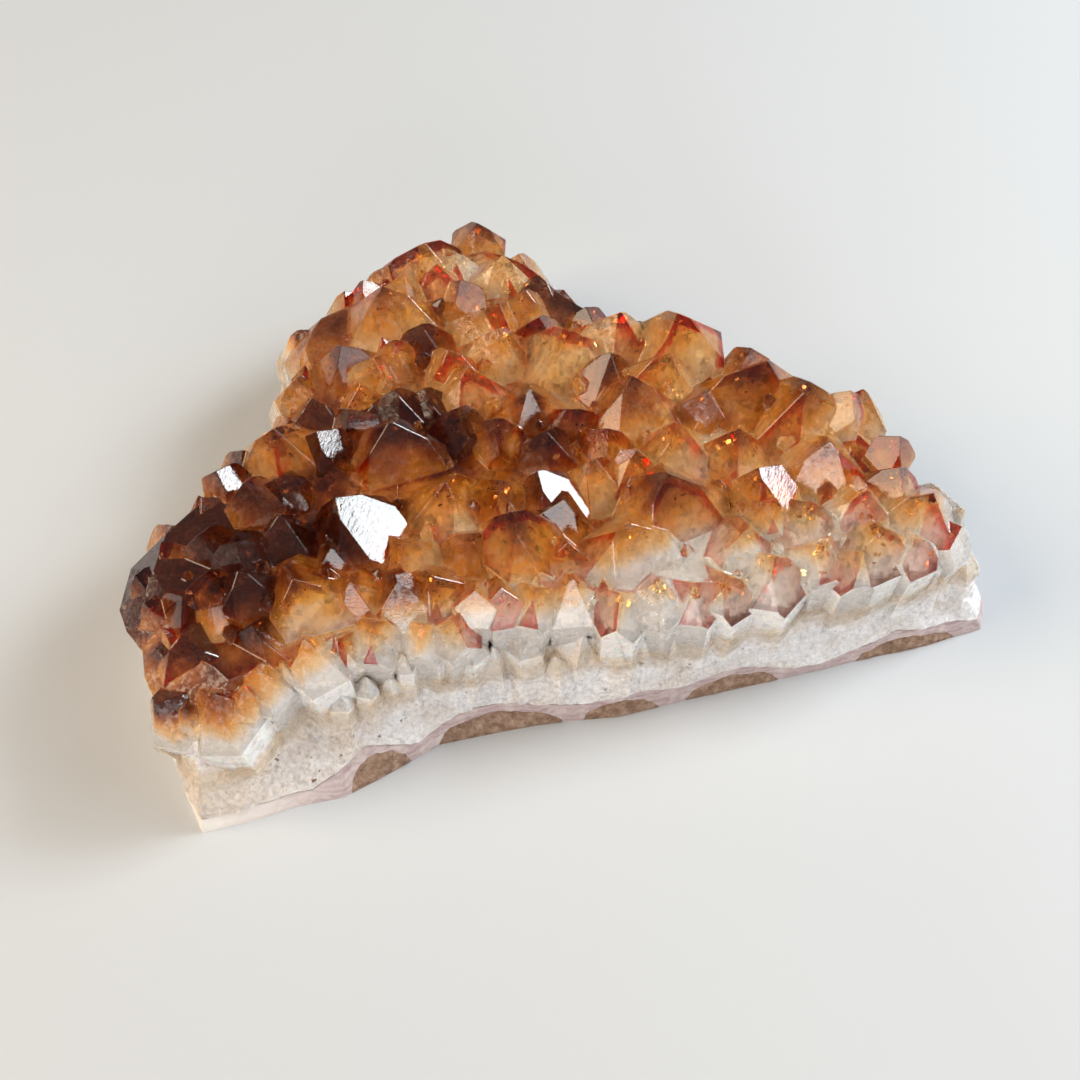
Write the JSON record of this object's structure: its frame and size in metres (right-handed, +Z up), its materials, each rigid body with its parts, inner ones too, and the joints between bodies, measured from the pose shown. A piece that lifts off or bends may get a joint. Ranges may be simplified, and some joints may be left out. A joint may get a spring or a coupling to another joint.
{
  "type": "citrine cluster",
  "caption": "Broken plate of upright amber quartz points on a milky quartz bed, with a thin agate band and brown rock remains under it, cut flat to stand on.",
  "frame": {"origin": "middle of the object's bounding box at the level of the flat cut underside", "axes": "+X along the long front face, which looks towards -Y; +Z up along the crystals"},
  "size_m": [0.1562, 0.1124, 0.0381],
  "materials": {
    "quartz": "glossy amber points that pale to milky white roots",
    "agate": "waxy lilac grey, finely banded",
    "host_rock": "dull brown, grainy"
  },
  "bodies": {
    "root": {"quartz_crystals": "quartz", "agate_band": "agate", "host_rock_left": "host_rock", "host_rock_long": "host_rock", "host_rock_middle": "host_rock", "host_rock_right": "host_rock", "host_rock_far_right": "host_rock"}
  },
  "joints": []
}
